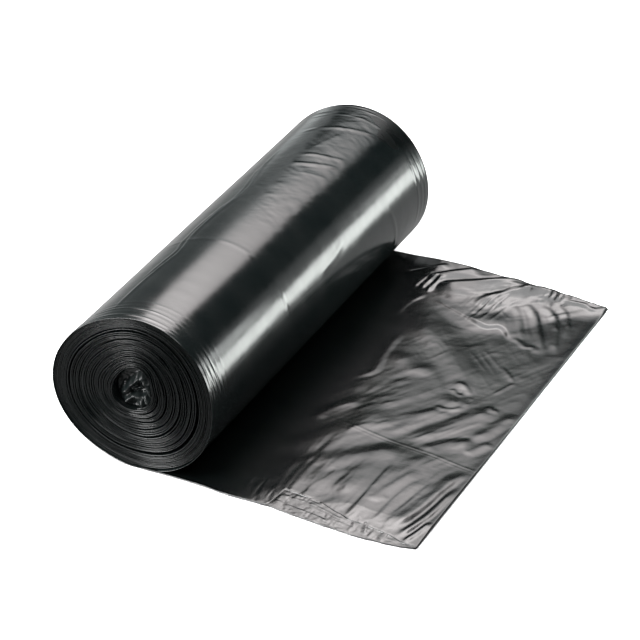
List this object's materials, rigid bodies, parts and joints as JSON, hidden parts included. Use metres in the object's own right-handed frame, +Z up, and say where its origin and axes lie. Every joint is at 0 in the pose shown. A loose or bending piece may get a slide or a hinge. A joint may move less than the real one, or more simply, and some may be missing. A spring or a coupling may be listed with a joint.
{
  "type": "bin bag roll",
  "caption": "Coreless roll of folded black bin liners lying on its side, slightly sagged, with the free end drawn off flat to one side.",
  "frame": {"origin": "on the floor under the roll, half way along it and inside its flat spot", "axes": "+Y along the roll, +X along the drawn-off end that lies on the floor, +Z up"},
  "size_m": [0.1703, 0.2462, 0.0704],
  "materials": {
    "black_film": "glossy thin polyethylene film, wrinkled and folded"
  },
  "bodies": {
    "root": {"bin_bag_roll": "black_film"}
  },
  "joints": []
}
